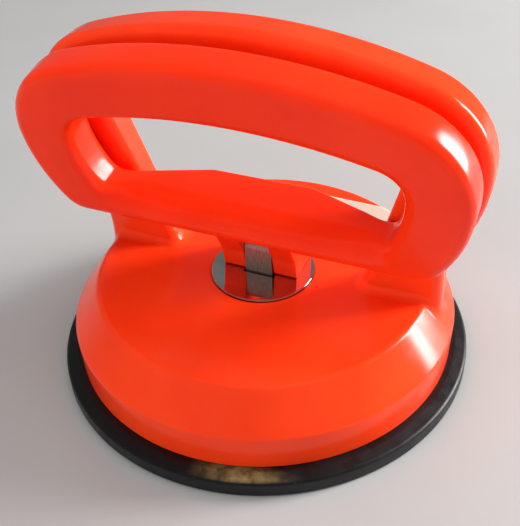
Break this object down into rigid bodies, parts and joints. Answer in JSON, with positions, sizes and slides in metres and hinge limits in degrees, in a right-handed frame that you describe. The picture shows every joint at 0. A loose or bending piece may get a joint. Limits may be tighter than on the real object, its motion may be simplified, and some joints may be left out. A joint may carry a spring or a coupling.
{
  "type": "vacuum suction cup lifter",
  "caption": "Hand-held vacuum suction lifter: round rubber pad under a moulded body with a fixed handle and a hinged cam lever.",
  "frame": {"origin": "centre of the pad's circle, on the surface that the pad holds", "axes": "+Z away from that surface, +X along both handles; the lever swings towards -Y"},
  "size_m": [0.1224, 0.12, 0.1031],
  "materials": {
    "shell_plastic": "semi-gloss injection moulded",
    "lever_plastic": "semi-gloss injection moulded",
    "pad_rubber": "satin, lightly dusty",
    "plate_steel": "polished",
    "label_paper": "matt paper",
    "pin_steel": "turned",
    "strap_steel": "dull zinc plate"
  },
  "bodies": {
    "base": {"body": "shell_plastic", "wear_plate": "plate_steel", "rubber_pad": "pad_rubber", "label": "label_paper"},
    "link": {"pull_strap": "strap_steel", "anchor_disc": "strap_steel", "strap_rivets": "pin_steel", "pivot_pin": "pin_steel"},
    "lever": {"lever": "lever_plastic"}
  },
  "joints": [
    {"name": "centre_lift", "type": "slide", "parent": "base", "child": "link", "axis": [0, 0, 1], "range_m": [-0.00191, 0], "deforming": ["rubber_pad"]},
    {"name": "lever_swing", "type": "hinge", "parent": "link", "child": "lever", "pos_m": [0, 0, 0.035], "axis": [1, 0, 0], "range_deg": [0, 56]}
  ],
  "couplings": [
    {"joint": "centre_lift", "follows": "lever_swing", "m_per_rad": -0.001944}
  ]
}
